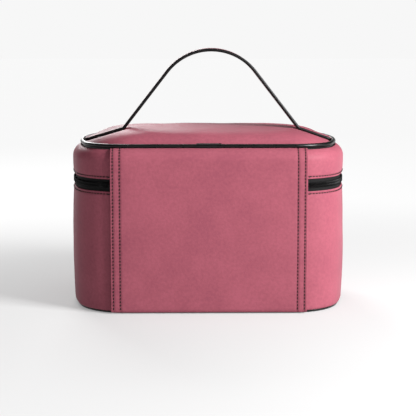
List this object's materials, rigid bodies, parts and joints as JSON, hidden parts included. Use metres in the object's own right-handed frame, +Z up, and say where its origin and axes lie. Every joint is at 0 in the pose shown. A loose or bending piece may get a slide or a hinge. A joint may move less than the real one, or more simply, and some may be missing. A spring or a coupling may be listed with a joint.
{
  "type": "train case",
  "caption": "Soft-sided leather train case with a zipped lid hinged on its back panel, padded top, black piping and an arched strap handle.",
  "frame": {"origin": "centre of the bottom, on the surface the case stands on", "axes": "+Z up, +X along the case's width, +Y towards the back, where the lid is hinged; the zip sliders meet at the middle of the -Y face"},
  "size_m": [0.261, 0.1621, 0.2432],
  "materials": {
    "wall_leather": "smooth rose leather, low sheen",
    "handle_leather": "smooth rose leather with black painted edges",
    "piping_vinyl": "glossy black vinyl over cord",
    "zip_tape": "black woven polyester tape",
    "zip_nylon": "black nylon coil",
    "slider_metal": "black lacquered zinc",
    "lining_cloth": "black woven polyester",
    "elastic_tape": "ribbed black elastic",
    "foam": "soft foam sheet",
    "backing_board": "stiff pressed board"
  },
  "bodies": {
    "base": {"bottom_panel": "wall_leather", "base_board": "backing_board", "base_floor_lining": "lining_cloth", "bottom_piping": "piping_vinyl", "base_wall": "wall_leather", "base_foam": "foam", "base_lining": "lining_cloth", "back_panel_lower": "wall_leather", "back_backing_lower": "backing_board", "zip_tape_lower": "zip_tape", "zip_coil_lower": "zip_nylon", "slip_pocket": "lining_cloth", "pocket_elastic": "elastic_tape", "back_panel_fold": "wall_leather", "hinge_lining": "lining_cloth"},
    "lid": {"lid_wall": "wall_leather", "lid_foam": "foam", "lid_lining": "lining_cloth", "back_panel_upper": "wall_leather", "back_backing_upper": "backing_board", "lid_top_panel": "wall_leather", "lid_padding": "foam", "lid_board": "backing_board", "lid_ceiling_lining": "lining_cloth", "top_piping": "piping_vinyl", "piping_sleeve": "piping_vinyl", "zip_tape_upper": "zip_tape", "zip_coil_upper": "zip_nylon", "handle_anchor_left": "handle_leather", "handle_anchor_right": "handle_leather", "handle_root_left": "handle_leather", "handle_root_right": "handle_leather"},
    "handle": {"handle_strap": "handle_leather"},
    "slider_left": {"zip_slider_left": "slider_metal"},
    "slider_right": {"zip_slider_right": "slider_metal"},
    "pull_left": {"zip_pull_left": "slider_metal"},
    "pull_right": {"zip_pull_right": "slider_metal"}
  },
  "joints": [
    {"name": "lid_hinge", "type": "hinge", "parent": "base", "child": "lid", "pos_m": [0, 0.07955, 0.1195], "axis": [-1, 0, 0], "range_deg": [0, 105], "deforming": ["back_panel_fold", "hinge_lining"]},
    {"name": "handle_swing", "type": "hinge", "parent": "lid", "child": "handle", "pos_m": [0, 0, 0.17969], "axis": [1, 0, 0], "range_deg": [-55, 55], "stiffness_Nm_per_rad": 0.03, "deforming": ["handle_root_left", "handle_root_right"]},
    {"name": "zip_slider_left", "type": "slide", "parent": "base", "child": "slider_left", "axis": [-1, 0, 0], "range_m": [0, 0.064]},
    {"name": "zip_pull_left", "type": "hinge", "parent": "slider_left", "child": "pull_left", "pos_m": [-0.007, -0.08085, 0.1195], "axis": [0, 0, 1], "range_deg": [0, 100]},
    {"name": "zip_slider_right", "type": "slide", "parent": "base", "child": "slider_right", "axis": [1, 0, 0], "range_m": [0, 0.064]},
    {"name": "zip_pull_right", "type": "hinge", "parent": "slider_right", "child": "pull_right", "pos_m": [0.007, -0.08085, 0.1195], "axis": [0, 0, -1], "range_deg": [0, 100]}
  ]
}
